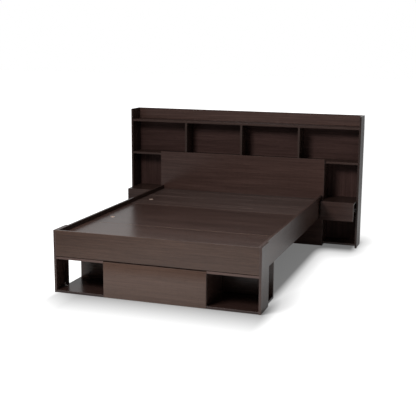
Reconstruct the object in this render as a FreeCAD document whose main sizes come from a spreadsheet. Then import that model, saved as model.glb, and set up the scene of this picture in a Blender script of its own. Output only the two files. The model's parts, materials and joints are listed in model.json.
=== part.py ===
import FreeCAD
import Part
import Sketcher
import os
import re

# Platform storage bed: a foot unit with a drawer and two open cubbies, side rails, a panel deck
# and a bookcase headboard with a bedside drawer at each side. X is the width, +Y runs from the
# foot to the head, +Z is up. The origin is on the floor at the centre of the whole outline.

doc = FreeCAD.newDocument("PlatformStorageBed")
sheet = doc.addObject("Spreadsheet::Sheet", "Sizes")

driving_sizes = {
    "mattress_width": 1372,
    "mattress_length": 1905,
    "mattress_side_slack": 7,
    "mattress_end_slack": 8,
    "panel": 16,
    "drawer_board": 12,
    "hardboard": 3,
    "edge_break": 0.8,
    "glide_height": 6,
    "foot_pad_height": 1.5,
    "glide_radius": 7,
    "glide_inset": 14,
    "rail_top": 434,
    "rail_height": 178,
    "deck_recess": 31,
    "deck_gap": 1.5,
    "deck_foot_length": 452,
    "deck_middle_length": 740,
    "finger_hole_radius": 15,
    "finger_hole_inset": 92,
    "finger_hole_setback": 199,
    "ledger": 30,
    "leg": 45,
    "upright_depth": 180,
    "foot_depth": 376,
    "rail_reveal": 5,
    "front_reveal": 2,
    "edge_reveal": 3,
    "notch_gap": 2,
    "foot_drawer_width": 720,
    "foot_drawer_depth": 335,
    "foot_drawer_height": 180,
    "foot_drawer_lift": 12,
    "foot_front_clearance": 1.5,
    "headboard_depth": 172,
    "lower_shelf_height": 712,
    "cubby_height": 269,
    "gallery_height": 90,
    "backrest_rise": 17,
    "niche_floor_height": 23,
    "bedside_width": 270,
    "bedside_rail_gap": 11,
    "bedside_top_height": 401,
    "bedside_front_height": 150,
    "bedside_front_gap": 2,
    "bedside_reach": 127,
    "bedside_drawer_depth": 261,
    "bedside_drawer_height": 115,
    "bedside_drawer_lift": 11,
    "groove_depth": 6,
    "groove_rise": 6,
    "groove_play": 0.4,
    "runner_gap": 13,
    "runner_depth": 10,
    "runner_height": 27,
    "runner_wall": 1.2,
    "runner_play": 0.6,
    "runner_inset": 3,
    "runner_rise": 44,
    "foot_runner_length": 300,
    "bedside_runner_length": 150,
    "cam_radius": 7.5,
    "cam_depth": 12,
    "cam_inset": 34,
    "cam_setback": 36,
    "cam_play": 0.15,
    "bracket_leg": 22,
    "bracket_wall": 2,
    "bracket_width": 15,
    "bracket_setback": 128,
}

# Values that several pieces share, worked out from the driving sizes.
shared_sizes = {
    "clear_half": "mattress_width / 2 + mattress_side_slack",
    "clear_length": "mattress_length + mattress_end_slack",
    "rail_outer": "clear_half + panel",
    "rail_bottom": "rail_top - rail_height",
    "foot_front": "-(clear_length + 2 * panel + headboard_depth) / 2",
    "rail_start": "foot_front + panel",
    "headboard_front": "rail_start + clear_length + panel",
    "backrest_front": "headboard_front - panel",
    "shelf_depth": "headboard_depth - hardboard",
    "top_shelf_height": "lower_shelf_height + cubby_height + panel",
    "headboard_height": "top_shelf_height + gallery_height",
    "deck_bottom": "rail_top - deck_recess - panel",
    "foot_edge": "foot_front + edge_reveal",
    "foot_shelf_front": "rail_start + front_reveal",
    "foot_shelf_bottom": "rail_bottom - rail_reveal - panel",
    "foot_floor": "foot_pad_height + panel",
    "foot_back": "foot_front + foot_depth - panel",
    "foot_box_half": "foot_drawer_width / 2 - panel - runner_gap",
    "foot_box_bottom": "foot_floor + foot_drawer_lift",
    "niche_in": "rail_outer + bedside_rail_gap",
    "niche_out": "niche_in + bedside_width",
    "headboard_width": "2 * (niche_out + panel)",
    "bedside_front": "headboard_front - bedside_reach",
    "bedside_front_bottom": "bedside_top_height - bedside_front_height",
    "bedside_box_bottom": "bedside_front_bottom + bedside_drawer_lift",
    "groove_height": "hardboard + groove_play",
    "slide_height": "runner_height - 2 * (runner_wall + runner_play)",
}

leg_shares = (0.4, 0.72)

for row, (name, value) in enumerate({**driving_sizes, **shared_sizes}.items(), start=1):
    sheet.set(f"A{row}", name)
    sheet.set(f"B{row}", f"={value}" if name in shared_sizes else str(value))
    sheet.setAlias(f"B{row}", name)
doc.recompute()

subparts = []


def bind(target, path, formula):
    target.setExpression(path, re.sub(r"[a-z][a-z_]+", lambda word: "Sizes." + word.group(), formula))


def put(target, place):
    for axis, formula in zip("xyz", place):
        bind(target, f"Placement.Base.{axis}", formula)


def mirrored(low, size, side):
    return low if side == "right" else f"-({low}) - ({size})"


def origin_plane(body, role):
    return next(plane for plane in body.Origin.OriginFeatures if plane.Role == role)


def new_sketch(body, role):
    sketch = body.newObject("Sketcher::SketchObject", body.Name + "_sketch")
    sketch.AttachmentSupport = (origin_plane(body, role), [""])
    sketch.MapMode = "FlatFace"
    return sketch


def hold(sketch, formula, kind, *geometry):
    index = sketch.addConstraint(Sketcher.Constraint(kind, *geometry, 1.0))
    sketch.renameConstraint(index, f"size_{index}")
    bind(sketch, f"Constraints.size_{index}", formula)


def place_point(sketch, geometry, point, across, up):
    for axis, formula, kind in ((-2, across, "DistanceX"), (-1, up, "DistanceY")):
        if formula is None:
            sketch.addConstraint(Sketcher.Constraint("PointOnObject", geometry, point, axis))
        else:
            hold(sketch, formula, kind, -1, 1, geometry, point)


# A rectangle with its lower left corner at the plane's origin, or set off from it.
def rectangle(body, role, width, height, across=None, up=None):
    sketch = new_sketch(body, role)
    corners = [FreeCAD.Vector(x, y) for x, y in ((0, 0), (1, 0), (1, 1), (0, 1))]
    for start, end in zip(corners, corners[1:] + corners[:1]):
        sketch.addGeometry(Part.LineSegment(start, end))
    for line in range(4):
        sketch.addConstraint(Sketcher.Constraint("Coincident", line, 2, (line + 1) % 4, 1))
        sketch.addConstraint(Sketcher.Constraint("Vertical" if line % 2 else "Horizontal", line))
    place_point(sketch, 0, 1, across, up)
    hold(sketch, width, "DistanceX", 0, 1, 0, 2)
    hold(sketch, height, "DistanceY", 1, 1, 1, 2)
    return sketch


# A body that grows from the plane's origin to its positive side.
def padded(label, role, width, height, length):
    body = doc.addObject("PartDesign::Body", label)
    body.Label = label
    sketch = rectangle(body, role, width, height)
    pad = body.newObject("PartDesign::Pad", label + "_pad")
    pad.Profile = sketch
    pad.Reversed = role == "XZ_Plane"
    bind(pad, "Length", length)
    body.Tip = pad
    return body


def cut(body, sketch, role, depth=None):
    pocket = body.newObject("PartDesign::Pocket", body.Name + "_cut")
    pocket.Profile = sketch
    pocket.Reversed = role != "XZ_Plane"
    if depth is None:
        pocket.Type = "ThroughAll"
    else:
        bind(pocket, "Length", depth)
    body.Tip = pocket


def drill(body, centres, radius, depth=None):
    sketch = new_sketch(body, "XY_Plane")
    for index, (across, up) in enumerate(centres):
        sketch.addGeometry(Part.Circle(FreeCAD.Vector(1, 1), FreeCAD.Vector(0, 0, 1), 1))
        place_point(sketch, index, 3, across, up)
        hold(sketch, radius, "Radius", index)
    cut(body, sketch, "XY_Plane", depth)


# A board whose thickness lies along one axis, with its edges eased where it is edge-banded.
def board(label, thin, place, size, eased=True, listed=True):
    role, width, height, thickness = {
        "x": ("YZ_Plane", size[1], size[2], size[0]),
        "y": ("XZ_Plane", size[0], size[2], size[1]),
        "z": ("XY_Plane", size[0], size[1], size[2]),
    }[thin]
    body = padded(label, role, width, height, thickness)
    if eased:
        pad = body.Tip
        chamfer = body.newObject("PartDesign::Chamfer", label + "_ease")
        chamfer.Base = (pad, [f"Edge{number}" for number in range(1, 13)])
        bind(chamfer, "Size", "edge_break")
        body.Tip = chamfer
    put(body, place)
    if listed:
        subparts.append(body)
    return body


# A steel channel that runs along Y and opens towards -X or +X.
def channel(label, place, height, length, opens):
    body = padded(label, "XZ_Plane", "runner_depth", height, length)
    across = None if opens == "-x" else "runner_wall"
    hollow = ("runner_depth - runner_wall", f"{height} - 2 * runner_wall", across, "runner_wall")
    cut(body, rectangle(body, "XZ_Plane", *hollow), "XZ_Plane")
    put(body, place)
    return body


def group(label, pieces):
    compound = doc.addObject("Part::Compound", label)
    compound.Label = label
    compound.Links = pieces
    subparts.append(compound)


# Foot unit.
def build_foot_unit():
    board("front_rail", "y", ("-rail_outer", "foot_front", "rail_bottom"),
          ("2 * rail_outer", "panel", "rail_height"))
    for name, bottom, depth in (("top", "foot_shelf_bottom", "upright_depth - edge_reveal"),
                                ("bottom", "foot_pad_height", "foot_back - foot_edge")):
        body = board(f"foot_{name}_panel", "z", ("-rail_outer", "foot_edge", bottom),
                     ("2 * rail_outer", depth, "panel"))
        # The drawer's front closes into a notch in the front edge.
        notch = ("foot_drawer_width + 2 * notch_gap", "foot_shelf_front - foot_edge",
                 "rail_outer - foot_drawer_width / 2 - notch_gap")
        cut(body, rectangle(body, "XY_Plane", *notch), "XY_Plane")
    board("foot_back_panel", "y", ("-rail_outer", "foot_back", "foot_pad_height"),
          ("2 * rail_outer", "panel", "rail_bottom - foot_pad_height"))
    for side in ("left", "right"):
        board(f"foot_upright_{side}", "x",
              (mirrored("rail_outer", "panel", side), "foot_front", "foot_pad_height"),
              ("panel", "upright_depth", "rail_top - foot_pad_height"))
        board(f"foot_partition_{side}", "x",
              (mirrored("foot_drawer_width / 2 - panel", "panel", side), "foot_shelf_front", "foot_floor"),
              ("panel", "foot_back - foot_shelf_front", "foot_shelf_bottom - foot_floor"))


# A drawer box without its front: grooved sides, a back that stands on the bottom, and the bottom.
def build_drawer_box(name, low, high, front, bottom, depth, height, sides):
    for label, place, groove in (
            (sides[0], low, "drawer_board - groove_depth"), (sides[1], f"{high} - drawer_board", None)):
        body = board(f"{name}_{label}", "x", (place, front, bottom), ("drawer_board", depth, height))
        section = ("groove_depth", "groove_height", groove, "groove_rise")
        cut(body, rectangle(body, "XZ_Plane", *section), "XZ_Plane")
    board(f"{name}_back", "y",
          (f"{low} + drawer_board", f"{front} + {depth} - drawer_board",
           f"{bottom} + groove_rise + hardboard"),
          (f"{high} - ({low}) - 2 * drawer_board", "drawer_board", f"{height} - groove_rise - hardboard"))
    reach = "drawer_board - groove_depth + groove_play"
    board(f"{name}_bottom", "z", (f"{low} + {reach}", front, f"{bottom} + groove_rise"),
          (f"{high} - ({low}) - 2 * ({reach})", depth, "hardboard"), eased=False)


# Two channels that nest: the runner is on the wall and the slide is on the drawer's side.
def build_runner_pair(name, low, high, front, bottom, length):
    runners, slides = [], []
    for end, wall, box, outward, inward in (
            ("low", f"{low} - runner_gap", f"{low} - runner_depth", "+x", "-x"),
            ("high", f"{high} + runner_gap - runner_depth", high, "-x", "+x")):
        start, rise = f"{front} + runner_inset", f"{bottom} + runner_rise"
        runners.append(channel(f"{name}_runner_{end}", (wall, start, rise), "runner_height", length, outward))
        raised = f"{rise} + runner_wall + runner_play"
        slides.append(channel(f"{name}_slide_{end}", (box, start, raised), "slide_height", length, inward))
    group(f"{name}_slides", slides)
    return runners


def build_foot_drawer():
    board("foot_drawer_front", "y",
          ("-foot_drawer_width / 2", "foot_front", "foot_pad_height + foot_front_clearance"),
          ("foot_drawer_width", "panel",
           "foot_shelf_bottom + panel - foot_pad_height - foot_front_clearance"))
    build_drawer_box("foot_drawer", "-foot_box_half", "foot_box_half", "rail_start", "foot_box_bottom",
                     "foot_drawer_depth", "foot_drawer_height", ("side_left", "side_right"))
    group("foot_drawer_runners", build_runner_pair(
        "foot_drawer", "-foot_box_half", "foot_box_half", "foot_shelf_front", "foot_box_bottom",
        "foot_runner_length"))


# Side rails, the deck and what carries it.
def build_bed_frame():
    for side in ("left", "right"):
        board(f"side_rail_{side}", "x", (mirrored("clear_half", "panel", side), "rail_start", "rail_bottom"),
              ("panel", "clear_length", "rail_height"))
        board(f"ledger_{side}", "z",
              (mirrored("clear_half - ledger", "ledger", side), "rail_start", "deck_bottom - ledger"),
              ("ledger", "clear_length", "ledger"))
    end_ledgers = [
        board(f"end_ledger_{end}", "z", ("-(clear_half - ledger)", start, "deck_bottom - ledger"),
              ("2 * (clear_half - ledger)", "ledger", "ledger"), listed=False)
        for end, start in (("foot", "rail_start"), ("head", "backrest_front - ledger"))]
    group("end_ledgers", end_ledgers)
    board("center_beam", "x", ("-panel / 2", "rail_start + ledger", "rail_bottom"),
          ("panel", "clear_length - 2 * ledger", "deck_bottom - rail_bottom"))
    legs = [
        board(f"center_leg_{number}", "z",
              ("-leg / 2", f"rail_start + {share} * clear_length", "glide_height"),
              ("leg", "leg", "rail_bottom - glide_height"), listed=False)
        for number, share in enumerate(leg_shares)]
    group("center_legs", legs)


def build_deck():
    middle = "rail_start + deck_foot_length"
    head = f"{middle} + deck_middle_length"
    for name, start, end in (("foot", "rail_start", middle), ("middle", middle, head),
                             ("head", head, "backrest_front")):
        body = board(f"deck_panel_{name}", "z",
                     ("-(clear_half - deck_gap)", f"{start} + deck_gap", "deck_bottom"),
                     ("2 * (clear_half - deck_gap)", f"{end} - ({start}) - 2 * deck_gap", "panel"))
        if name != "foot":
            drill(body, [("finger_hole_inset", "finger_hole_setback")], "finger_hole_radius")


# Headboard: a bookcase that is wider than the bed.
def build_headboard():
    for name, top in (("top", "top_shelf_height"), ("lower", "lower_shelf_height")):
        shelf = board(f"headboard_{name}_shelf", "z", ("-niche_out", "headboard_front", f"{top} - panel"),
                      ("2 * niche_out", "shelf_depth", "panel"))
        drill(shelf, [(across, up) for across in ("cam_inset", "2 * niche_out - cam_inset")
                      for up in ("cam_setback", "shelf_depth - cam_setback")], "cam_radius", "cam_depth")
    for name, step in (("left", "-"), ("center", "0 *"), ("right", "")):
        board(f"divider_{name}", "x",
              (f"{step} niche_out / 2 - panel / 2", "headboard_front", "lower_shelf_height"),
              ("panel", "shelf_depth", "cubby_height"))
    board("gallery_board", "y", ("-niche_out", "headboard_front + shelf_depth - panel", "top_shelf_height"),
          ("2 * niche_out", "panel", "gallery_height"))
    board("backrest_panel", "y", ("-niche_in", "backrest_front", "glide_height"),
          ("2 * niche_in", "panel", "lower_shelf_height + backrest_rise - glide_height"))
    board("upper_back", "y",
          ("-headboard_width / 2", "headboard_front + shelf_depth", "lower_shelf_height - panel"),
          ("headboard_width", "hardboard", "top_shelf_height - lower_shelf_height + panel"), eased=False)
    for side in ("left", "right"):
        board(f"headboard_side_{side}", "x",
              (mirrored("niche_out", "panel", side), "headboard_front", "glide_height"),
              ("panel", "shelf_depth", "headboard_height - glide_height"))
        board(f"headboard_partition_{side}", "x",
              (mirrored("niche_in - panel", "panel", side), "headboard_front", "glide_height"),
              ("panel", "shelf_depth", "lower_shelf_height - panel - glide_height"))
        width = "headboard_width / 2 - niche_in + panel"
        board(f"niche_back_{side}", "y",
              (mirrored("niche_in - panel", width, side), "headboard_front + shelf_depth",
               "niche_floor_height"),
              (width, "hardboard", "lower_shelf_height - panel - niche_floor_height"), eased=False)
        board(f"niche_floor_{side}", "z",
              (mirrored("niche_in", "bedside_width", side), "headboard_front", "niche_floor_height"),
              ("bedside_width", "shelf_depth", "panel"))


# Bedside drawers: each stands proud of the headboard under a top of its own.
def build_bedside_drawers():
    runners = []
    for side in ("left", "right"):
        width = "bedside_width"
        top_front = "bedside_front + panel + front_reveal"
        board(f"bedside_top_{side}", "z",
              (mirrored("niche_in", width, side), top_front, "bedside_top_height - panel"),
              (width, f"headboard_front + shelf_depth - ({top_front})", "panel"))
        front_width = f"{width} - 2 * bedside_front_gap"
        board(f"bedside_drawer_{side}_front", "y",
              (mirrored("niche_in + bedside_front_gap", front_width, side), "bedside_front",
               "bedside_front_bottom"),
              (front_width, "panel", "bedside_front_height"))
        box_width = f"{width} - 2 * runner_gap"
        low = mirrored("niche_in + runner_gap", box_width, side)
        high = f"{low} + {box_width}"
        sides = ("side_inner", "side_outer") if side == "right" else ("side_outer", "side_inner")
        build_drawer_box(f"bedside_drawer_{side}", low, high, "bedside_front + panel", "bedside_box_bottom",
                         "bedside_drawer_depth", "bedside_drawer_height", sides)
        runners += build_runner_pair(f"bedside_drawer_{side}", low, high, "headboard_front",
                                     "bedside_box_bottom", "bedside_runner_length")
    group("bedside_runners", runners)


def cylinder(label, place, radius, height):
    body = doc.addObject("Part::Cylinder", label)
    bind(body, "Radius", radius)
    bind(body, "Height", height)
    put(body, place)
    return body


def build_glides():
    spots, pad_spots = [], []
    for sign in ("-", ""):
        pad_spots += [(f"{sign}(rail_outer + panel / 2)", f"foot_front + {setback}")
                      for setback in ("glide_inset", "upright_depth - glide_inset")]
        pad_spots += [(f"{sign}(foot_drawer_width / 2 - panel / 2)", spot)
                      for spot in ("foot_shelf_front + glide_inset", "foot_back - glide_inset")]
        spots += [(f"{sign}({across} - panel / 2)", f"headboard_front + {setback}")
                  for across in ("headboard_width / 2", "niche_in")
                  for setback in ("glide_inset", "shelf_depth - glide_inset")]
        spots.append((f"{sign}niche_in / 2", "backrest_front + panel / 2"))
    spots += [("0 * leg", f"rail_start + {share} * clear_length + leg / 2") for share in leg_shares]
    group("glides", [
        cylinder(f"{kind}_{number}", (across, along, f"0 * {height}"), "glide_radius", height)
        for kind, height, places in (
            ("foot_pad", "foot_pad_height", pad_spots), ("glide", "glide_height", spots))
        for number, (across, along) in enumerate(places)])


def build_cams():
    spots = [(f"{sign}(niche_out - cam_inset)", f"headboard_front + {setback}", f"{top} - panel")
             for top in ("top_shelf_height", "lower_shelf_height")
             for sign in ("-", "")
             for setback in ("cam_setback", "shelf_depth - cam_setback")]
    group("cam_fittings", [
        cylinder(f"cam_{number}", spot, "cam_radius - cam_play", "cam_depth")
        for number, spot in enumerate(spots)])


# An angle bracket has its corner at its own origin and its legs along its own +X and +Y.
def bracket(label, place, *turns):
    body = padded(label, "XY_Plane", "bracket_leg", "bracket_leg", "bracket_width")
    opening = ("bracket_leg - bracket_wall", "bracket_leg - bracket_wall", "bracket_wall", "bracket_wall")
    cut(body, rectangle(body, "XY_Plane", *opening), "XY_Plane")
    for axis, quarters in turns:
        body.Placement.Rotation = FreeCAD.Rotation(axis, 90 * quarters) * body.Placement.Rotation
    put(body, place)
    return body


def build_brackets():
    upward, sideways = FreeCAD.Vector(0, 0, 1), FreeCAD.Vector(1, 0, 0)
    corners = (("left", "rail_start", 0), ("right", "rail_start", 1),
               ("right", "backrest_front", 2), ("left", "backrest_front", 3))
    brackets = [
        bracket(f"rail_bracket_{quarters}",
                ("clear_half" if side == "right" else "-clear_half", along, "rail_bottom + bracket_leg"),
                (upward, quarters))
        for side, along, quarters in corners]
    for side, sign, quarters in (("left", "-", 0), ("right", "", 1)):
        brackets.append(bracket(
            f"upright_bracket_{side}", (f"{sign}rail_outer", "foot_front + bracket_setback", "foot_floor"),
            (upward, quarters), (sideways, 1)))
    group("corner_brackets", brackets)


build_foot_unit()
build_foot_drawer()
build_bed_frame()
build_deck()
build_headboard()
build_bedside_drawers()
build_glides()
build_cams()
build_brackets()
doc.recompute()

for item in doc.Objects:
    if "Invalid" in item.State or "Error" in item.State:
        raise RuntimeError(f"{item.Label} failed: {item.State}")
    if item.TypeId == "PartDesign::Pocket" and item.Shape.Volume >= item.BaseFeature.Shape.Volume:
        raise RuntimeError(f"{item.Label} cuts nothing")
for subpart in subparts:
    if subpart.Shape.isNull() or not subpart.Shape.isValid():
        raise RuntimeError(f"{subpart.Label} has no valid shape")

os.makedirs("parts", exist_ok=True)
for subpart in subparts:
    subpart.Shape.exportStep(f"parts/{subpart.Label}.step")
    outline = subpart.Shape.BoundBox
    print(f"{subpart.Label}: {len(subpart.Shape.Solids)} solid, "
          f"{outline.XLength:.1f} x {outline.YLength:.1f} x {outline.ZLength:.1f} mm")
print(len(subparts), "sub-parts")
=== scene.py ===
import json
import math
import random

import bmesh
import bpy
from mathutils import Matrix, Vector


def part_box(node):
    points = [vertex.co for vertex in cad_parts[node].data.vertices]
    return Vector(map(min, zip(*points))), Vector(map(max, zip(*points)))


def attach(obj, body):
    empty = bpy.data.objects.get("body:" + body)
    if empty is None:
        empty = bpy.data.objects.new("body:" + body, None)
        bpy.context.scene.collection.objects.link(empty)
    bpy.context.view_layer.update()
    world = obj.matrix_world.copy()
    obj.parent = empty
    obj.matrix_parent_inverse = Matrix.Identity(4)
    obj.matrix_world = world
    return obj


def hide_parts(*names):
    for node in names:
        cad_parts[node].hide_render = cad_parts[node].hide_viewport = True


# Platform storage bed in dark wood-grain board. Metres, same frame as the solids: X across the bed,
# +Y from the foot to the headboard, +Z up.

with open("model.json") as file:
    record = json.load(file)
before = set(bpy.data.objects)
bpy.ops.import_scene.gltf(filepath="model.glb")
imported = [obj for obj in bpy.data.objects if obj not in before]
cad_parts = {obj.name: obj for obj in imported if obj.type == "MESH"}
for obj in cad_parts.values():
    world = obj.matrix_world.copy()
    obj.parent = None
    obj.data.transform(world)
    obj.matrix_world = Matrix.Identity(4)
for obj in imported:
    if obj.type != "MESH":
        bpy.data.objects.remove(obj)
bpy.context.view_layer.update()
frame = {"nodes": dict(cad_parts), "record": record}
nodes = frame["nodes"]
scene = bpy.context.scene
scene.view_settings.view_transform = "Standard"
print("frame loaded:", len(nodes), "nodes")


def addNode(tree, kind, inputs=None, **settings):
    node = tree.nodes.new("ShaderNode" + kind)
    for name, value in settings.items():
        setattr(node, name, value)
    for key, value in (inputs or {}).items():
        if isinstance(value, bpy.types.NodeSocket):
            tree.links.new(value, node.inputs[key])
        else:
            node.inputs[key].default_value = value
    return node


def sums(tree, operation, first, second=0.0):
    return addNode(tree, "Math", {0: first, 1: second}, operation=operation).outputs[0]


def spread(tree, value, low, high, toLow, toHigh):
    inputs = {"Value": value, "From Min": low, "From Max": high, "To Min": toLow, "To Max": toHigh}
    return addNode(tree, "MapRange", inputs).outputs["Result"]


def blendColour(tree, share, first, second, mode="MIX"):
    inputs = {"Fac": share, "Color1": first, "Color2": second}
    return addNode(tree, "MixRGB", inputs, blend_type=mode).outputs["Color"]


def rgba(colour):
    return (*colour, 1.0)


def newMaterial(name):
    material = bpy.data.materials.new(name)
    material.use_nodes = True
    tree = material.node_tree
    tree.nodes.clear()
    shader = addNode(tree, "BsdfPrincipled")
    addNode(tree, "OutputMaterial", {"Surface": shader.outputs[0]})
    return material, tree, shader


noiseMid = (0.35, 0.65)  # most of a noise lies in here
noiseWide = (0.3, 0.7)  # nearly all of it


# Noise drawn out along the grain: figures are repeats per metre along it and across it.
def grainNoise(tree, place, along, across, detail, rough=0.5, distortion=0.0):
    scaled = addNode(tree, "Mapping", {"Vector": place, "Scale": (along, across, across)})
    inputs = {"Vector": scaled.outputs[0], "Scale": 1.0, "Detail": detail, "Roughness": rough,
              "Distortion": distortion}
    return addNode(tree, "TexNoise", inputs).outputs["Fac"]


def plainNoise(tree, place, repeat, detail):
    inputs = {"Vector": place, "Scale": repeat, "Detail": detail}
    return addNode(tree, "TexNoise", inputs).outputs["Fac"]


def addBump(tree, shader, height, look):
    inputs = {"Height": height, "Strength": look["bump"], "Distance": look["bumpDepth"]}
    relief = addNode(tree, "Bump", inputs).outputs[0]
    tree.links.new(relief, shader.inputs["Normal"])
    return relief


# The face's turn to each axis, from the mesh's own normals: first without its sign, then with it.
def faceTurn(tree):
    normal = addNode(tree, "NewGeometry").outputs["True Normal"]
    size = addNode(tree, "VectorMath", {0: normal}, operation="ABSOLUTE").outputs["Vector"]
    turn = addNode(tree, "SeparateXYZ", {0: size}).outputs
    facing = addNode(tree, "SeparateXYZ", {0: normal}).outputs
    return turn, facing


# Pressed chips: flat cells of three tones, for the unbanded edges of the boards.
chipCore = {"cells": 420.0, "dark": (0.20, 0.12, 0.065), "middle": (0.40, 0.27, 0.16),
            "light": (0.58, 0.43, 0.29), "middleStop": 0.45}


def chipCells(tree, place, repeat):
    inputs = {"Vector": place, "Scale": repeat, "Randomness": 1.0}
    cells = addNode(tree, "TexVoronoi", inputs, feature="F1").outputs
    pick = addNode(tree, "SeparateXYZ", {0: cells["Color"]}).outputs["X"]
    return pick, cells["Distance"]


def chipColour(tree, place):
    pick = chipCells(tree, place, chipCore["cells"])[0]
    ramp = addNode(tree, "ValToRGB", {"Fac": pick})
    stops = ramp.color_ramp.elements
    stops[0].color = rgba(chipCore["dark"])
    stops[1].color = rgba(chipCore["light"])
    stops.new(chipCore["middleStop"]).color = rgba(chipCore["middle"])
    return ramp.outputs["Color"]


# Looks of the boards: all, then the deck, the drawer at the foot, the thin backs and the drawer boxes.
laminate = {
    "dark": (0.028, 0.0146, 0.0113), "middle": (0.051, 0.0284, 0.0226), "light": (0.082, 0.0485, 0.0395),
    "band": (0.058, 0.034, 0.0285), "rub": (0.10, 0.072, 0.062), "pore": (0.35, 0.33, 0.33),
    "roughLow": 0.42, "roughHigh": 0.58, "coat": 0.55, "coatRough": 0.24,
    "figure": 30.0, "bump": 0.12, "bumpDepth": 0.0004, "rawFaces": False,
}
deckLaminate = dict(laminate, dark=(0.0175, 0.0088, 0.0068), middle=(0.051, 0.0282, 0.0224),
                    light=(0.096, 0.0575, 0.047), figure=9.0, coatRough=0.22)
calmLaminate = dict(laminate, dark=(0.037, 0.0202, 0.0159), light=(0.067, 0.0388, 0.0313))
# The thin backs are darker than the laminate: partly their own print, partly painted shade for the backs of
# the open boxes.
printedAndShadedBack = dict(laminate, dark=(0.019, 0.0098, 0.0081), middle=(0.037, 0.0197, 0.0166),
                   light=(0.061, 0.0345, 0.0295), coat=0.12, coatRough=0.4, rawFaces=True)
foil = dict(laminate, dark=(0.034, 0.019, 0.016), middle=(0.046, 0.027, 0.023),
            light=(0.060, 0.037, 0.032), coat=0.25, coatRough=0.4, bump=0.06)
fibreBack = {"dark": (0.115, 0.062, 0.031), "light": (0.20, 0.118, 0.064)}  # bare side of the thin backs

# Layers of grain: repeats per metre along and across it, detail, and share of the tone. The width of the
# figure comes from the board's look.
woodGrain = {
    "figureAlong": 0.8, "figureDetail": 4.0, "figureRough": 0.55, "figureSwirl": 0.6, "figureShare": 0.35,
    "streakAlong": 2.4, "streakAcross": 105.0, "streakDetail": 3.0, "streakRough": 0.6, "streakShare": 0.38,
    "fineAlong": 9.0, "fineAcross": 420.0, "fineDetail": 2.0, "fineShare": 0.27, "fineRelief": 0.5,
    "poreAlong": 22.0, "poreAcross": 1500.0, "poreDetail": 1.0,
    "poreFrom": 0.60, "poreTo": 0.72, "poreDepth": 0.75,
    "fibreFrom": 0.12, "fibreTo": 0.40, "bandShare": 0.55, "rubLow": 0.25, "rubHigh": 0.9, "rawRough": 0.85,
    "flatTurn": 0.95,  # over this a face is square to an axis
    "easedTurn": 0.93,  # under this it is on an eased edge
    "shift": 8.0, "chance": 0.05,  # each board's own place in the pattern, and its own tone
}

grainTurns = {"x": (0.0, 0.0, 0.0), "y": (0.0, 0.0, -math.pi / 2), "z": (0.0, math.pi / 2, 0.0)}
# Gain on red, green and blue, set for each board by its brightness in the photograph. It is partly the
# board's own tone and partly painted light: painted shade darkens boards that sit in shadow, such as the
# foot's bottom panel, the side boards and the right bedside top; a painted reflection makes the deck's head
# panel greyer and lighter; and painted light lifts the gallery board and the thin backs.
boardToneAndPaintedLight = {
    "front_rail": (0.73, 0.70, 0.61),
    "foot_drawer_front": (1.05, 1.09, 1.01),
    "foot_upright_left": (0.62, 0.62, 0.62),
    "foot_upright_right": (0.62, 0.62, 0.62),
    # painted shade: the floor of the foot's open boxes
    "foot_bottom_panel": (0.31, 0.29, 0.30),
    "foot_partition_left": (0.6, 0.6, 0.6),
    "foot_partition_right": (0.75, 0.75, 0.75),
    "foot_back_panel": (0.55, 0.55, 0.55),
    "side_rail_left": (0.6, 0.6, 0.6),
    "deck_panel_foot": (0.90, 0.90, 0.90),
    "deck_panel_middle": (0.79, 0.80, 0.82),
    # painted reflection: greyer and lighter
    "deck_panel_head": (1.25, 1.46, 1.58),
    "backrest_panel": (0.97, 0.92, 0.94),
    "gallery_board": (1.42, 1.40, 1.44),
    "upper_back": (1.16, 1.14, 1.16),
    "niche_back_left": (1.12, 1.10, 1.12),
    "niche_back_right": (1.14, 1.12, 1.14),
    "niche_floor_left": (0.6, 0.6, 0.6),
    "niche_floor_right": (0.6, 0.6, 0.6),
    "headboard_side_left": (0.6, 0.6, 0.6),
    "headboard_side_right": (0.5, 0.5, 0.5),
    "headboard_top_shelf": (0.82, 0.80, 0.80),
    "headboard_lower_shelf": (0.76, 0.76, 0.76),
    "divider_left": (0.72, 0.76, 0.76),
    "divider_center": (0.72, 0.76, 0.76),
    "divider_right": (0.72, 0.76, 0.76),
    "bedside_drawer_left_front": (0.74, 0.72, 0.72),
    "bedside_drawer_right_front": (0.76, 0.74, 0.76),
    "bedside_top_left": (0.7, 0.7, 0.7),
    # painted shade on the right bedside top
    "bedside_top_right": (0.45, 0.45, 0.45),
}
picker = random.Random(41)


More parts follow.
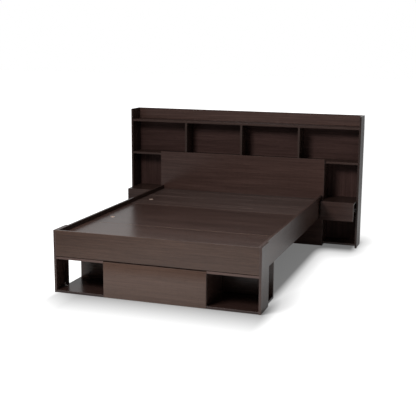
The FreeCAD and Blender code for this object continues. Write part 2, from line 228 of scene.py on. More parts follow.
def boardMaterial(name, look, grain, thin, rawEdges):
    material, tree, shader = newMaterial(name)
    here = addNode(tree, "TexCoord").outputs["Object"]
    shift = [picker.uniform(-woodGrain["shift"], woodGrain["shift"]) for axis in range(3)]
    chance = picker.uniform(1.0 - woodGrain["chance"], 1.0 + woodGrain["chance"])
    # Besides each board's own tone, the gain holds painted light for some boards: painted shade and a painted
    # reflection.
    tone = [part * chance for part in boardToneAndPaintedLight.get(name, (1.0, 1.0, 1.0))]

    def withGainAndPaintedLight(colour):
        return rgba([part * gain for part, gain in zip(look[colour], tone)])

    turned = addNode(tree, "Mapping", {"Vector": here, "Rotation": grainTurns[grain], "Location": shift})
    place = turned.outputs[0]
    figure = grainNoise(tree, place, woodGrain["figureAlong"], look["figure"], woodGrain["figureDetail"],
                        woodGrain["figureRough"], woodGrain["figureSwirl"])
    streak = grainNoise(tree, place, woodGrain["streakAlong"], woodGrain["streakAcross"],
                        woodGrain["streakDetail"], woodGrain["streakRough"])
    fine = grainNoise(tree, place, woodGrain["fineAlong"], woodGrain["fineAcross"], woodGrain["fineDetail"])
    pore = grainNoise(tree, place, woodGrain["poreAlong"], woodGrain["poreAcross"], woodGrain["poreDetail"])
    mixed = sums(tree, "MULTIPLY", figure, woodGrain["figureShare"])
    mixed = sums(tree, "ADD", mixed, sums(tree, "MULTIPLY", streak, woodGrain["streakShare"]))
    mixed = sums(tree, "ADD", mixed, sums(tree, "MULTIPLY", fine, woodGrain["fineShare"]))
    ramp = addNode(tree, "ValToRGB", {"Fac": spread(tree, mixed, *noiseWide, 0.0, 1.0)})
    stops = ramp.color_ramp.elements
    stops[0].color = withGainAndPaintedLight("dark")
    stops[1].color = withGainAndPaintedLight("light")
    stops.new(0.5).color = withGainAndPaintedLight("middle")
    poreShare = spread(tree, pore, woodGrain["poreFrom"], woodGrain["poreTo"], 0.0, woodGrain["poreDepth"])
    colour = blendColour(tree, poreShare, ramp.outputs["Color"], rgba(look["pore"]), "MULTIPLY")
    turn, facing = faceTurn(tree)
    onEdge = sums(tree, "LESS_THAN", turn["XYZ".index(thin.upper())], 0.5)
    banded = sums(tree, "MULTIPLY", onEdge, woodGrain["bandShare"])
    colour = blendColour(tree, banded, colour, withGainAndPaintedLight("band"))
    most = sums(tree, "MAXIMUM", turn[0], sums(tree, "MAXIMUM", turn[1], turn[2]))
    eased = sums(tree, "LESS_THAN", most, woodGrain["easedTurn"])
    rubbed = spread(tree, streak, *noiseMid, woodGrain["rubLow"], woodGrain["rubHigh"])
    colour = blendColour(tree, sums(tree, "MULTIPLY", eased, rubbed), colour, rgba(look["rub"]))
    # Edges towards the floor and the wall are left unbanded, and thin backs are bare on that side.
    hidden = sums(tree, "MAXIMUM", sums(tree, "GREATER_THAN", facing[1], woodGrain["flatTurn"]),
                  sums(tree, "LESS_THAN", facing[2], -woodGrain["flatTurn"]))
    if look["rawFaces"]:
        raw = hidden
        fibres = spread(tree, sums(tree, "MULTIPLY", fine, streak), woodGrain["fibreFrom"],
                        woodGrain["fibreTo"], 0.0, 1.0)
        rawColour = blendColour(tree, fibres, rgba(fibreBack["dark"]), rgba(fibreBack["light"]))
    else:
        raw = onEdge if rawEdges else sums(tree, "MULTIPLY", hidden, onEdge)
        rawColour = chipColour(tree, here)
    colour = blendColour(tree, raw, colour, rawColour)
    tree.links.new(colour, shader.inputs["Base Color"])
    rough = spread(tree, fine, *noiseWide, look["roughLow"], look["roughHigh"])
    rawRough = sums(tree, "MULTIPLY", raw, woodGrain["rawRough"])
    tree.links.new(sums(tree, "MAXIMUM", rough, rawRough), shader.inputs["Roughness"])
    shader.inputs["Specular IOR Level"].default_value = 0.0  # the lacquer coat alone is glossy
    shader.inputs["Coat Weight"].default_value = look["coat"]
    shader.inputs["Coat Roughness"].default_value = look["coatRough"]
    height = sums(tree, "SUBTRACT", sums(tree, "MULTIPLY", fine, woodGrain["fineRelief"]), poreShare)
    relief = addBump(tree, shader, height, look)
    tree.links.new(relief, shader.inputs["Coat Normal"])
    return material


uprightGrain = ("foot_upright_left", "foot_upright_right", "headboard_side_left", "headboard_side_right",
                "headboard_partition_left", "headboard_partition_right", "niche_back_left",
                "niche_back_right", "divider_left", "divider_center", "divider_right")
slots = {row["node"]: row["material_slot"] for row in frame["record"]["subparts"]}


def dressBoards():
    looks = {"laminate": laminate, "deck_laminate": deckLaminate, "drawer_laminate": foil,
             "hardboard": printedAndShadedBack}
    for name in sorted(nodes):
        if slots[name] not in looks:
            continue
        low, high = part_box(name)
        size = high - low
        axes = sorted("xyz", key=lambda axis: size["xyz".index(axis)])
        grain = "z" if name in uprightGrain else axes[2]
        rawEdges = slots[name] == "deck_laminate"
        look = calmLaminate if name == "foot_drawer_front" else looks[slots[name]]
        material = boardMaterial(name, look, grain, axes[0], rawEdges)
        nodes[name].material_slots[0].material = material


dressBoards()
print("boards dressed")


# Sawn softwood for the strips and legs that carry the deck.
softwood = {"dark": (0.36, 0.215, 0.10), "light": (0.60, 0.43, 0.245), "knot": (0.13, 0.060, 0.026),
            "wanderAlong": 1.2, "wanderAcross": 14.0, "wanderDetail": 3.0, "wanderSwirl": 0.4,
            "rings": 15.0, "ringShare": 0.62,
            "fineAlong": 14.0, "fineAcross": 700.0, "fineDetail": 2.0, "fineShare": 0.38, "shift": 3.0,
            "knotSpacing": (2.4, 17.0, 17.0), "knotCore": 0.05, "knotEdge": 0.17, "knotShare": 0.85,
            "rough": 0.72, "specular": 0.3, "bump": 0.25, "bumpDepth": 0.0006}


def softwoodMaterial(name, grain):
    material, tree, shader = newMaterial("softwood." + name)
    here = addNode(tree, "TexCoord").outputs["Object"]
    shift = [picker.uniform(-softwood["shift"], softwood["shift"]) for axis in range(3)]
    turned = addNode(tree, "Mapping", {"Vector": here, "Rotation": grainTurns[grain], "Location": shift})
    place = turned.outputs[0]
    wander = grainNoise(tree, place, softwood["wanderAlong"], softwood["wanderAcross"],
                        softwood["wanderDetail"], distortion=softwood["wanderSwirl"])
    rings = sums(tree, "FRACT", sums(tree, "MULTIPLY", wander, softwood["rings"]))
    fine = grainNoise(tree, place, softwood["fineAlong"], softwood["fineAcross"], softwood["fineDetail"])
    share = sums(tree, "ADD", sums(tree, "MULTIPLY", rings, softwood["ringShare"]),
                 sums(tree, "MULTIPLY", fine, softwood["fineShare"]))
    colour = blendColour(tree, share, rgba(softwood["light"]), rgba(softwood["dark"]))
    knots = addNode(tree, "Mapping", {"Vector": place, "Scale": softwood["knotSpacing"]})
    spots = addNode(tree, "TexVoronoi", {"Vector": knots.outputs[0], "Scale": 1.0}, feature="F1")
    knotShare = spread(tree, spots.outputs["Distance"], softwood["knotCore"], softwood["knotEdge"],
                       softwood["knotShare"], 0.0)
    colour = blendColour(tree, knotShare, colour, rgba(softwood["knot"]))
    tree.links.new(colour, shader.inputs["Base Color"])
    shader.inputs["Roughness"].default_value = softwood["rough"]
    shader.inputs["Specular IOR Level"].default_value = softwood["specular"]
    addBump(tree, shader, share, softwood)
    return material


# Grey powder coat on the drawer runners, rubbed bright along the line of travel.
coatedSteel = {"colour": (0.36, 0.36, 0.355), "thin": (0.50, 0.50, 0.49), "dust": (0.25, 0.24, 0.225),
               "scuffAlong": 5.0, "scuffAcross": 620.0, "scuffDetail": 3.0, "scuffRough": 0.6,
               "scuffFrom": 0.55, "scuffTo": 0.70, "scuffShare": 0.7,
               "dustRepeat": 55.0, "dustDetail": 4.0, "dustFrom": 0.50, "dustTo": 0.72, "dustShare": 0.5,
               "peelRepeat": 1400.0, "peelDetail": 1.0, "roughLow": 0.34, "roughHigh": 0.52,
               "bump": 0.12, "bumpDepth": 0.0002}


def coatedSteelMaterial():
    look = coatedSteel
    material, tree, shader = newMaterial("coated steel")
    here = addNode(tree, "TexCoord").outputs["Object"]
    turned = addNode(tree, "Mapping", {"Vector": here, "Rotation": grainTurns["y"]}).outputs[0]
    scuff = grainNoise(tree, turned, look["scuffAlong"], look["scuffAcross"], look["scuffDetail"],
                       look["scuffRough"])
    dust = plainNoise(tree, here, look["dustRepeat"], look["dustDetail"])
    peel = plainNoise(tree, here, look["peelRepeat"], look["peelDetail"])
    share = spread(tree, scuff, look["scuffFrom"], look["scuffTo"], 0.0, look["scuffShare"])
    colour = blendColour(tree, share, rgba(look["colour"]), rgba(look["thin"]))
    share = spread(tree, dust, look["dustFrom"], look["dustTo"], 0.0, look["dustShare"])
    colour = blendColour(tree, share, colour, rgba(look["dust"]))
    tree.links.new(colour, shader.inputs["Base Color"])
    rough = spread(tree, scuff, *noiseMid, look["roughHigh"], look["roughLow"])
    tree.links.new(rough, shader.inputs["Roughness"])
    addBump(tree, shader, peel, look)
    return material


# Zinc plate on brackets, screws and cams: a mottled bright metal.
zincSteel = {"colour": (0.46, 0.46, 0.47), "warm": (0.48, 0.45, 0.40), "dull": (0.26, 0.26, 0.265),
             "mottleRepeat": 180.0, "mottleDetail": 3.0, "grimeRepeat": 420.0, "grimeDetail": 4.0,
             "grimeFrom": 0.55, "grimeTo": 0.75, "grimeShare": 0.7, "roughLow": 0.30, "roughHigh": 0.48,
             "bump": 0.08, "bumpDepth": 0.0002}


def zincSteelMaterial():
    look = zincSteel
    material, tree, shader = newMaterial("zinc steel")
    here = addNode(tree, "TexCoord").outputs["Object"]
    mottle = plainNoise(tree, here, look["mottleRepeat"], look["mottleDetail"])
    grime = plainNoise(tree, here, look["grimeRepeat"], look["grimeDetail"])
    share = spread(tree, mottle, *noiseMid, 0.0, 1.0)
    colour = blendColour(tree, share, rgba(look["colour"]), rgba(look["warm"]))
    share = spread(tree, grime, look["grimeFrom"], look["grimeTo"], 0.0, look["grimeShare"])
    colour = blendColour(tree, share, colour, rgba(look["dull"]))
    tree.links.new(colour, shader.inputs["Base Color"])
    shader.inputs["Metallic"].default_value = 1.0
    rough = spread(tree, grime, *noiseWide, look["roughLow"], look["roughHigh"])
    tree.links.new(rough, shader.inputs["Roughness"])
    addBump(tree, shader, grime, look)
    return material


# Moulded black plastic of the floor glides, greyed where it has rubbed on the floor.
blackPlastic = {"colour": (0.014, 0.014, 0.015), "rubbed": (0.045, 0.043, 0.041), "rough": 0.46,
                "gritRepeat": 900.0, "gritDetail": 3.0, "rubHeight": 0.0012, "rubLeast": 0.2,
                "bump": 0.15, "bumpDepth": 0.0002}


def blackPlasticMaterial():
    look = blackPlastic
    material, tree, shader = newMaterial("black plastic")
    here = addNode(tree, "TexCoord").outputs["Object"]
    height = addNode(tree, "SeparateXYZ", {0: here}).outputs["Z"]
    grit = plainNoise(tree, here, look["gritRepeat"], look["gritDetail"])
    low = spread(tree, height, 0.0, look["rubHeight"], 1.0, 0.0)
    share = sums(tree, "MULTIPLY", low, spread(tree, grit, *noiseMid, look["rubLeast"], 1.0))
    colour = blendColour(tree, share, rgba(look["colour"]), rgba(look["rubbed"]))
    tree.links.new(colour, shader.inputs["Base Color"])
    shader.inputs["Roughness"].default_value = look["rough"]
    addBump(tree, shader, grit, look)
    return material


# Cut chipboard, dusty and pale, round the finger holes.
paleCore = {"dark": (0.36, 0.26, 0.21), "light": (0.70, 0.55, 0.47), "cells": 620.0, "rough": 0.88,
            "specular": 0.2, "bump": 0.4, "bumpDepth": 0.0003}


def barePaleMaterial():
    material, tree, shader = newMaterial("bare board")
    here = addNode(tree, "TexCoord").outputs["Object"]
    pick, depth = chipCells(tree, here, paleCore["cells"])
    colour = blendColour(tree, pick, rgba(paleCore["dark"]), rgba(paleCore["light"]))
    tree.links.new(colour, shader.inputs["Base Color"])
    shader.inputs["Roughness"].default_value = paleCore["rough"]
    shader.inputs["Specular IOR Level"].default_value = paleCore["specular"]
    addBump(tree, shader, depth, paleCore)
    return material


coatedMetal = coatedSteelMaterial()
barePaleBoard = barePaleMaterial()
zincMetal = zincSteelMaterial()
glidePlastic = blackPlasticMaterial()


def dressHardware():
    finishes = {"coated_steel": coatedMetal, "zinc_steel": zincMetal, "black_plastic": glidePlastic}
    for name in sorted(nodes):
        if slots[name] == "softwood":
            low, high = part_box(name)
            size = high - low
            grain = "z" if name == "center_legs" else max("xyz", key=lambda axis: size["xyz".index(axis)])
            nodes[name].material_slots[0].material = softwoodMaterial(name, grain)
        elif slots[name] in finishes:
            nodes[name].material_slots[0].material = finishes[slots[name]]


dressHardware()
print("strips and hardware dressed")


mergeGap = 1e-6  # doubles closer than this are merged
smoothAngle = math.radians(32.0)  # sharper edges stay sharp
squareEdge = math.radians(55.0)  # edges turned by more than this are eased


# Small turned heads, folded plates and glides. Each form is made once at the origin and set in place
# as often as it is used.
def finishForm(mold, name):
    bmesh.ops.remove_doubles(mold, verts=mold.verts[:], dist=mergeGap)
    bmesh.ops.recalc_face_normals(mold, faces=mold.faces[:])
    form = bpy.data.meshes.new(name)
    mold.to_mesh(form)
    mold.free()
    return form


def setForm(mold, form, place):
    before = set(mold.verts)
    mold.from_mesh(form)
    bmesh.ops.transform(mold, matrix=place, verts=[vert for vert in mold.verts if vert not in before])


def finishPiece(mold, name, material, body, replaced=()):
    for face in mold.faces:
        face.smooth = True
    mesh = bpy.data.meshes.new(name)
    mold.to_mesh(mesh)
    mold.free()
    mesh.set_sharp_from_angle(angle=smoothAngle)
    mesh.materials.append(material)
    piece = bpy.data.objects.new(name, mesh)
    scene.collection.objects.link(piece)
    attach(piece, body)
    if replaced:
        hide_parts(*replaced)
    print("made", name, "with", len(mesh.polygons), "faces")


def newVerts(grown):
    return [part for part in grown if isinstance(part, bmesh.types.BMVert)]


# Closes a round rim with a flat top that has a cross recess in its middle.
def sinkCross(mold, rim, look, top):
    corners = bmesh.ops.create_grid(mold, x_segments=3, y_segments=3, size=look["cross"])["verts"]
    halfway = 0.5 * look["cross"]
    for axis in range(2):
        inner = [vert for vert in corners if abs(vert.co[axis]) < halfway]
        narrow = [1.0, 1.0, 1.0]
        narrow[axis] = look["armShare"]
        bmesh.ops.scale(mold, verts=inner, vec=narrow)
    bmesh.ops.translate(mold, verts=corners, vec=(0.0, 0.0, top))
    outer, cross = [], []
    for tile in mold.faces:
        if tile.verts[0] in corners:
            spot = tile.calc_center_median()
            if min(abs(spot.x), abs(spot.y)) > halfway:
                outer.append(tile)
            else:
                cross.append(tile)
    bmesh.ops.delete(mold, geom=outer, context="FACES")
    sunk = newVerts(bmesh.ops.extrude_face_region(mold, geom=cross)["geom"])
    bmesh.ops.delete(mold, geom=cross, context="FACES_ONLY")
    bmesh.ops.translate(mold, verts=sunk, vec=(0.0, 0.0, -look["recess"]))
    bmesh.ops.scale(mold, verts=sunk, vec=(look["taper"], look["taper"], 1.0))
    loose = [edge for edge in mold.edges if not edge.link_faces]
    bmesh.ops.delete(mold, geom=loose, context="EDGES")
    lip = [edge for edge in mold.edges if edge.is_boundary and edge not in rim]
    bmesh.ops.bridge_loops(mold, edges=rim + lip)


# Rings give a turned head's radius and height from its base to its top.
def crossHead(look, name):
    mold = bmesh.new()
    radius, height = look["rings"][0]
    bmesh.ops.create_circle(mold, cap_ends=True, segments=look["sides"], radius=radius)
    bmesh.ops.translate(mold, verts=mold.verts[:], vec=(0.0, 0.0, height))
    rim = mold.edges[:]
    for nextRadius, nextHeight in look["rings"][1:]:
        grown = bmesh.ops.extrude_edge_only(mold, edges=rim)["geom"]
        corners = newVerts(grown)
        share = nextRadius / radius
        bmesh.ops.scale(mold, verts=corners, vec=(share, share, 1.0))
        bmesh.ops.translate(mold, verts=corners, vec=(0.0, 0.0, nextHeight - height))
        rim = [part for part in grown if isinstance(part, bmesh.types.BMEdge)
               and all(vert in corners for vert in part.verts)]
        radius, height = nextRadius, nextHeight
    sinkCross(mold, rim, look, height)
    return finishForm(mold, name)


# A profile of radius and height, turned once round the upright axis. A closed one makes a ring.
def turnedForm(profile, steps, name, closed=False):
    mold = bmesh.new()
    points = [mold.verts.new((radius, 0.0, height)) for radius, height in profile]
    for start, end in zip(points, points[1:] + (points[:1] if closed else [])):
        mold.edges.new((start, end))
    bmesh.ops.spin(mold, geom=mold.verts[:] + mold.edges[:], cent=(0.0, 0.0, 0.0), axis=(0.0, 0.0, 1.0),
                   angle=math.tau, steps=steps, use_merge=True)
    return finishForm(mold, name)


panScrew = {
    "sides": 20, "cross": 0.0019, "armShare": 0.75, "recess": 0.0011, "taper": 0.7,
    "rings": ((0.0034, 0.0), (0.0036, 0.0003), (0.0036, 0.0008), (0.0031, 0.0013), (0.0024, 0.0016)),
}
screwForm = crossHead(panScrew, "screw")


# Folded angle plates: four at the corners under the deck, two at the foot of the uprights.
anglePlate = {
    "leg": 0.022, "wall": 0.002, "width": 0.015, "bend": 0.003, "bendSteps": 5,
    "tip": 0.0045, "tipSteps": 5, "edge": 0.0003, "screwReach": 0.0132,
    "railCorners": ((-0.693, -1.0425, 0), (0.693, -1.0425, 1), (0.693, 0.8705, 2), (-0.693, 0.8705, 3)),
    "railHeight": 0.278,
    "uprightCorners": ((-0.709, 0), (0.709, 1)), "uprightPlace": (-0.9305, 0.0175),
}


def anglePlateForm(look):
    mold = bmesh.new()
    near = [mold.verts.new((look["bend"], 0.0, height)) for height in (0.0, look["width"])]
    fold = mold.edges.new(near)
    centre = (look["bend"], look["bend"], 0.0)
    spun = bmesh.ops.spin(mold, geom=near + [fold], cent=centre, axis=(0.0, 0.0, 1.0), angle=-math.pi / 2,
                          steps=look["bendSteps"])["geom_last"]
    last = [part for part in spun if isinstance(part, bmesh.types.BMEdge)]
    run = look["leg"] - look["bend"]
    for edges, way in (([fold], (run, 0.0, 0.0)), (last, (0.0, run, 0.0))):
        tips = newVerts(bmesh.ops.extrude_edge_only(mold, edges=edges)["geom"])
        bmesh.ops.translate(mold, verts=tips, vec=way)
        bmesh.ops.bevel(mold, geom=tips, offset=look["tip"], offset_type="OFFSET",
                        segments=look["tipSteps"], profile=0.5, affect="VERTICES", material=-1)
    bmesh.ops.remove_doubles(mold, verts=mold.verts[:], dist=mergeGap)
    bmesh.ops.recalc_face_normals(mold, faces=mold.faces[:])
    outlook = sum((face.normal * face.calc_area() for face in mold.faces), Vector())
    inward = outlook.x + outlook.y > 0.0
    bmesh.ops.solidify(mold, geom=mold.faces[:], thickness=-look["wall"] if inward else look["wall"])
    bmesh.ops.recalc_face_normals(mold, faces=mold.faces[:])
    sharp = [edge for edge in mold.edges if edge.calc_face_angle(0.0) > squareEdge]
    bmesh.ops.bevel(mold, geom=sharp, offset=look["edge"], offset_type="OFFSET", segments=1, profile=0.5,
                    affect="EDGES", material=-1)
    middle = 0.5 * look["width"]
    setForm(mold, screwForm, Matrix.Translation((look["screwReach"], look["wall"], middle))
            @ Matrix.Rotation(-math.pi / 2, 4, "X"))
    setForm(mold, screwForm, Matrix.Translation((look["wall"], look["screwReach"], middle))
            @ Matrix.Rotation(math.pi / 2, 4, "Y"))
    form = bpy.data.meshes.new("angle plate")
    mold.to_mesh(form)
    mold.free()
    return form


def buildAnglePlates():
    form = anglePlateForm(anglePlate)
    mold = bmesh.new()
    for across, along, quarters in anglePlate["railCorners"]:
        turn = Matrix.Rotation(quarters * math.pi / 2, 4, "Z")
        setForm(mold, form, Matrix.Translation((across, along, anglePlate["railHeight"])) @ turn)
    along, height = anglePlate["uprightPlace"]
    for across, quarters in anglePlate["uprightCorners"]:
        turn = Matrix.Rotation(math.pi / 2, 4, "X") @ Matrix.Rotation(quarters * math.pi / 2, 4, "Z")
        setForm(mold, form, Matrix.Translation((across, along, height)) @ turn)
    finishPiece(mold, "anglePlates", zincMetal, "bed_frame", ["corner_brackets"])


# Cam nuts, flush in the undersides of the two long shelves.
camNut = {
    "sides": 28, "rings": ((0.0073, -0.012), (0.0073, -0.0006), (0.0069, 0.0), (0.0061, 0.0),
                           (0.0058, -0.0006), (0.0052, -0.0006), (0.0049, 0.0)),
    "cross": 0.0034, "armShare": 0.6, "recess": 0.0022, "taper": 0.8,
    "across": (-0.956, 0.956), "along": (0.9225, 1.0195), "heights": (0.981, 0.696), "turn": 0.6,
}


def buildCamNuts():
    form = crossHead(camNut, "cam nut")
    mold = bmesh.new()
    face = Matrix.Rotation(math.pi, 4, "X")
    for height in camNut["heights"]:
        for across in camNut["across"]:
            for along in camNut["along"]:
                turn = Matrix.Rotation(camNut["turn"] * (1.0 + across + along), 4, "Z")
                setForm(mold, form, Matrix.Translation((across, along, height)) @ face @ turn)
    finishPiece(mold, "camNuts", zincMetal, "bed_frame", ["cam_fittings"])


# Nail-on glides under the headboard and the middle legs, and thin pads under the foot unit.
floorGlide = {
    "radius": 0.007, "edge": 0.0012, "edgeShare": 0.6, "edgeRound": 0.3,
    "nailRadius": 0.0026, "nailDepth": 0.0008, "nailTaper": 0.85, "steps": 28,
    "tall": 0.006, "thin": 0.0015,
    "tallSpots": ((0.998, 0.9005), (0.998, 1.0415), (0.712, 0.9005), (0.712, 1.0415), (0.360, 0.8785)),
    "legSpots": ((0.0, -0.2548), (0.0, 0.3574)),
    "thinSpots": ((0.717, -1.0445), (0.717, -0.8925), (0.352, -1.0265), (0.352, -0.7125)),
}


def glideForm(height):
    radius = floorGlide["radius"]
    edge = min(floorGlide["edge"], floorGlide["edgeShare"] * height)
    eased = floorGlide["edgeRound"] * edge
    nail, depth = floorGlide["nailRadius"], floorGlide["nailDepth"]
    profile = ((0.0, height), (radius, height), (radius, edge), (radius - eased, eased),
               (radius - edge, 0.0), (nail, 0.0), (floorGlide["nailTaper"] * nail, depth), (0.0, depth))
    return turnedForm(profile, floorGlide["steps"], "glide")


def buildGlides():
    tall, thin = glideForm(floorGlide["tall"]), glideForm(floorGlide["thin"])
    mold = bmesh.new()
    for form, spots in ((tall, floorGlide["tallSpots"]), (thin, floorGlide["thinSpots"])):
        for across, along in spots:
            for side in (-1.0, 1.0):
                setForm(mold, form, Matrix.Translation((side * across, along, 0.0)))
    for across, along in floorGlide["legSpots"]:
        setForm(mold, tall, Matrix.Translation((across, along, 0.0)))
    finishPiece(mold, "floorGlides", glidePlastic, "bed_frame", ["glides"])


# Pan screws in the open channel of each slide, which hold it to its drawer. Stations are shares of the
# slide's length.
slideScrews = {"footStations": (0.12, 0.5, 0.88), "bedsideStations": (0.2, 0.8), "web": 0.0012,
               "channel": 0.010}


def channelScrews(mold, low, high, side, stations):
    turn = Matrix.Rotation(side * math.pi / 2, 4, "Y")
    for station in stations:
        along = low.y + station * (high.y - low.y)
        face = low.x + slideScrews["web"] if side > 0.0 else high.x - slideScrews["web"]
        setForm(mold, screwForm, Matrix.Translation((face, along, 0.5 * (low.z + high.z))) @ turn)


def buildSlideScrews():
    for drawer in ("foot_drawer", "bedside_drawer_left", "bedside_drawer_right"):
        stations = slideScrews["footStations" if drawer == "foot_drawer" else "bedsideStations"]
        low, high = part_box(drawer + "_slides")
        deep = slideScrews["channel"]
        mold = bmesh.new()
        channelScrews(mold, low, Vector((low.x + deep, high.y, high.z)), -1.0, stations)
        channelScrews(mold, Vector((high.x - deep, low.y, low.z)), high, 1.0, stations)
        finishPiece(mold, drawer + "_slide_screws", zincMetal, drawer)


# Bare chipboard showing round the finger holes in two of the deck boards.
fingerHole = {"profile": ((0.01505, 0.3873), (0.01505, 0.4028), (0.0166, 0.4030), (0.0164, 0.4033),
                          (0.0153, 0.4034), (0.0146, 0.4029), (0.0146, 0.3873)),
              "steps": 48, "across": -0.5995, "along": (-0.390, 0.350)}


def buildFingerHoles():
    form = turnedForm(fingerHole["profile"], fingerHole["steps"], "finger hole", True)
    mold = bmesh.new()
    for along in fingerHole["along"]:
        setForm(mold, form, Matrix.Translation((fingerHole["across"], along, 0.0)))
    finishPiece(mold, "fingerHoleRims", barePaleBoard, "bed_frame")


# The foot drawer's face stops short of the rail, and its top edge is sloped behind for the fingers.
drawerFace = {"fingerGap": 0.005, "slope": 0.008, "slopeSteps": 3, "ease": 0.0008, "easeSteps": 2}


def buildDrawerFace():
    low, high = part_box("foot_drawer_front")
    high.z -= drawerFace["fingerGap"]
    mold = bmesh.new()
    bmesh.ops.create_cube(mold, size=1.0)
    bmesh.ops.scale(mold, verts=mold.verts[:], vec=high - low)
    bmesh.ops.translate(mold, verts=mold.verts[:], vec=0.5 * (low + high))
    corner = {vert for vert in mold.verts
              if vert.co.y > high.y - mergeGap and vert.co.z > high.z - mergeGap}
    behind = [edge for edge in mold.edges if corner.issuperset(edge.verts)]
    bmesh.ops.bevel(mold, geom=behind, offset=drawerFace["slope"], offset_type="OFFSET",
                    segments=drawerFace["slopeSteps"], profile=0.5, affect="EDGES", material=-1)
    sharp = [edge for edge in mold.edges if edge.calc_face_angle(0.0) > squareEdge]
    bmesh.ops.bevel(mold, geom=sharp, offset=drawerFace["ease"], offset_type="OFFSET",
                    segments=drawerFace["easeSteps"], profile=0.5, affect="EDGES", material=-1)
    bmesh.ops.recalc_face_normals(mold, faces=mold.faces[:])
    material = nodes["foot_drawer_front"].material_slots[0].material
    finishPiece(mold, "footDrawerFace", material, "foot_drawer", ["foot_drawer_front"])


buildDrawerFace()
buildAnglePlates()
buildCamNuts()
buildGlides()
buildSlideScrews()
buildFingerHoles()


# Fitted to the corners and edges in the photograph.
camera = {"place": (2.0720, -6.0712, 1.7173), "yaw": 18.75, "pitch": 11.28, "roll": 0.4,
          "focalPixels": 863.64, "framePixels": 416, "sensor": 36.0, "clipEnd": 200.0}


def placeCamera():
    lens = bpy.data.cameras.new("camera")
    lens.sensor_width = camera["sensor"]
    lens.lens = camera["focalPixels"] * camera["sensor"] / camera["framePixels"]
    lens.clip_end = camera["clipEnd"]
    holder = bpy.data.objects.new("camera", lens)
    scene.collection.objects.link(holder)
    turn = Matrix.Rotation(math.radians(camera["yaw"]), 4, "Z")
    turn = turn @ Matrix.Rotation(math.radians(90.0 - camera["pitch"]), 4, "X")
    turn = turn @ Matrix.Rotation(math.radians(camera["roll"]), 4, "Z")
    holder.matrix_world = Matrix.Translation(camera["place"]) @ turn
    scene.camera = holder


# The floor glows white to the camera. The glow sinks round three boxes, under the bed, its foot and the
# headboard: this is a painted shadow on the floor round the bed, and the bed's real shadow shows there too.
# Haste is how fast the glow comes back on each axis, and the left lift is painted light that keeps the floor
# white on the left. In the boards' gloss the floor is dimmer near the bed, a painted shadow in their
# reflections, and falls off towards the front, the left and the back.
studio = {
    "floorHalf": 30.0, "seenColour": (0.23, 0.23, 0.23), "floorColour": (0.86, 0.86, 0.86),
    "bedHalf": (0.68, 1.06, 0.0), "headHalf": (0.96, 0.11, 0.0), "headPlace": (0.0, 0.97, 0.0),
    "bedHaste": (5.0, 1.0, 1.0), "headHaste": (5.0, 2.2, 1.0), "join": 0.7,
    "footHalf": (0.70, 0.04, 0.0), "footPlace": (0.032, -1.02, 0.0), "footHaste": (4.6, 1.0, 1.0),
    "contactLift": 0.15, "softReach": 0.34, "softLift": 0.70, "whiteReach": 0.8,
    "sideFrom": 0.54, "sideTo": 0.74, "paintedLeftLift": 0.32,
    "mirrorFrom": 0.1, "mirrorTo": 3.2, "nearMirror": 0.36, "frontEdge": -1.06, "frontFade": 1.8,
    "leftEdge": 0.7, "leftPull": 5.0, "farMirror": 0.08,
    "backFrom": 0.6, "backTo": 4.0, "backMirror": 0.3,
    "skyLight": 0.24, "dimSide": 0.05, "paleSide": 0.95, "dimTurn": -0.25, "paleTurn": 0.35,
}


# Distance on the floor outside a box about a centre, with haste as its scale on each axis.
def floorReach(tree, here, centre, half, haste):
    offset = addNode(tree, "VectorMath", {0: here, 1: centre}, operation="SUBTRACT").outputs["Vector"]
    aside = addNode(tree, "VectorMath", {0: offset}, operation="ABSOLUTE").outputs["Vector"]
    past = addNode(tree, "VectorMath", {0: aside, 1: half}, operation="SUBTRACT").outputs["Vector"]
    nothing = (0.0, 0.0, 0.0)
    past = addNode(tree, "VectorMath", {0: past, 1: nothing}, operation="MAXIMUM").outputs["Vector"]
    past = addNode(tree, "VectorMath", {0: past, 1: haste}, operation="MULTIPLY").outputs["Vector"]
    return addNode(tree, "VectorMath", {0: past}, operation="LENGTH").outputs["Value"]


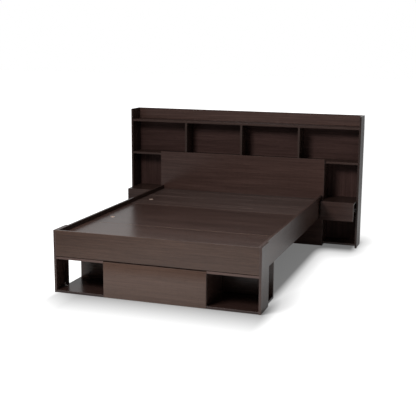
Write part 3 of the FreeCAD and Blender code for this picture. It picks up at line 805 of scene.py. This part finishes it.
def buildFloor():
    sheet = bmesh.new()
    bmesh.ops.create_grid(sheet, x_segments=1, y_segments=1, size=studio["floorHalf"])
    mesh = bpy.data.meshes.new("floor")
    sheet.to_mesh(mesh)
    sheet.free()
    floor = bpy.data.objects.new("floor", mesh)
    scene.collection.objects.link(floor)
    material = bpy.data.materials.new("floor")
    material.use_nodes = True
    tree = material.node_tree
    tree.nodes.clear()
    here = addNode(tree, "TexCoord").outputs["Object"]
    # The glow sinks near the bed: a painted shadow on the floor.
    bedReach = floorReach(tree, here, (0.0, 0.0, 0.0), studio["bedHalf"], studio["bedHaste"])
    headReach = floorReach(tree, here, studio["headPlace"], studio["headHalf"], studio["headHaste"])
    footReach = floorReach(tree, here, studio["footPlace"], studio["footHalf"], studio["footHaste"])
    inputs = {0: sums(tree, "MINIMUM", bedReach, footReach), 1: headReach, 2: studio["join"]}
    paintedShadowReach = addNode(tree, "Math", inputs, operation="SMOOTH_MIN").outputs[0]
    path = addNode(tree, "LightPath").outputs
    colour = blendColour(tree, path["Is Camera Ray"], rgba(studio["floorColour"]),
                         rgba(studio["seenColour"]))
    matt = addNode(tree, "BsdfDiffuse", {"Color": colour})
    lift = spread(tree, paintedShadowReach, 0.0, studio["softReach"], studio["contactLift"], studio["softLift"])
    rest = spread(tree, paintedShadowReach, studio["softReach"], studio["whiteReach"], 0.0, 1.0 - studio["softLift"])
    lift = sums(tree, "ADD", lift, rest)
    part = addNode(tree, "SeparateXYZ", {0: here}).outputs
    # Painted light: the floor's left is whitened over the bed's shadow.
    side = spread(tree, part["X"], -studio["sideFrom"], -studio["sideTo"], 0.0, studio["paintedLeftLift"])
    lift = sums(tree, "ADD", lift, side)
    front = sums(tree, "MAXIMUM", sums(tree, "SUBTRACT", studio["frontEdge"], part["Y"]), 0.0)
    leftward = sums(tree, "SUBTRACT", sums(tree, "MULTIPLY", part["X"], -1.0), studio["leftEdge"])
    leftward = sums(tree, "MULTIPLY", sums(tree, "MAXIMUM", leftward, 0.0), studio["leftPull"])
    away = sums(tree, "ADD", front, leftward)
    fade = spread(tree, away, 0.0, studio["frontFade"], 1.0, studio["farMirror"])
    # In gloss the glow sinks near the bed too: a painted shadow in the boards' reflections.
    mirrored = spread(tree, paintedShadowReach, studio["mirrorFrom"], studio["mirrorTo"], studio["nearMirror"], 1.0)
    mirrored = sums(tree, "MULTIPLY", mirrored, spread(tree, paintedShadowReach, 0.0, studio["mirrorFrom"], 0.0, 1.0))
    mirrored = sums(tree, "MULTIPLY", mirrored, fade)
    back = spread(tree, part["Y"], studio["backFrom"], studio["backTo"], 1.0, studio["backMirror"])
    mirrored = sums(tree, "MULTIPLY", mirrored, back)
    strength = sums(tree, "MULTIPLY", path["Is Glossy Ray"], mirrored)
    direct = sums(tree, "MAXIMUM", path["Is Camera Ray"], path["Is Transmission Ray"])
    strength = sums(tree, "ADD", strength, sums(tree, "MULTIPLY", direct, lift))
    glow = addNode(tree, "Emission", {"Strength": strength})
    both = addNode(tree, "AddShader", {0: matt.outputs[0], 1: glow.outputs[0]})
    addNode(tree, "OutputMaterial", {"Surface": both.outputs[0]})
    mesh.materials.append(material)


def buildSky():
    world = bpy.data.worlds.new("sky")
    world.use_nodes = True
    tree = world.node_tree
    tree.nodes.clear()
    around = addNode(tree, "TexCoord").outputs["Generated"]
    way = addNode(tree, "SeparateXYZ", {0: around}).outputs["Y"]
    mirrored = spread(tree, way, studio["dimTurn"], studio["paleTurn"], studio["dimSide"], studio["paleSide"])
    path = addNode(tree, "LightPath")
    strength = blendColour(tree, path.outputs["Is Glossy Ray"], rgba([studio["skyLight"]] * 3), mirrored)
    direct = sums(tree, "MAXIMUM", path.outputs["Is Camera Ray"], path.outputs["Is Transmission Ray"])
    strength = blendColour(tree, direct, strength, (1.0, 1.0, 1.0, 1.0))
    back = addNode(tree, "Background", {"Color": (1.0, 1.0, 1.0, 1.0), "Strength": strength})
    addNode(tree, "OutputWorld", {"Surface": back.outputs[0]})
    scene.world = world


keyBox = {"place": (-1.0, -3.1, 2.85), "aim": (1.2, -1.1, 0.0), "size": (1.4, 1.0), "watts": 95.0,
          "spread": 120.0}


def hangLight():
    lamp = bpy.data.lights.new("keyBox", "AREA")
    lamp.shape = "RECTANGLE"
    lamp.size, lamp.size_y = keyBox["size"]
    lamp.energy = keyBox["watts"]
    lamp.spread = math.radians(keyBox["spread"])
    holder = bpy.data.objects.new("keyBox", lamp)
    holder.location = keyBox["place"]
    aim = Vector(keyBox["aim"]) - Vector(keyBox["place"])
    holder.rotation_euler = aim.to_track_quat("-Z", "Y").to_euler()
    scene.collection.objects.link(holder)


placeCamera()
buildFloor()
buildSky()
hangLight()
print("studio set")
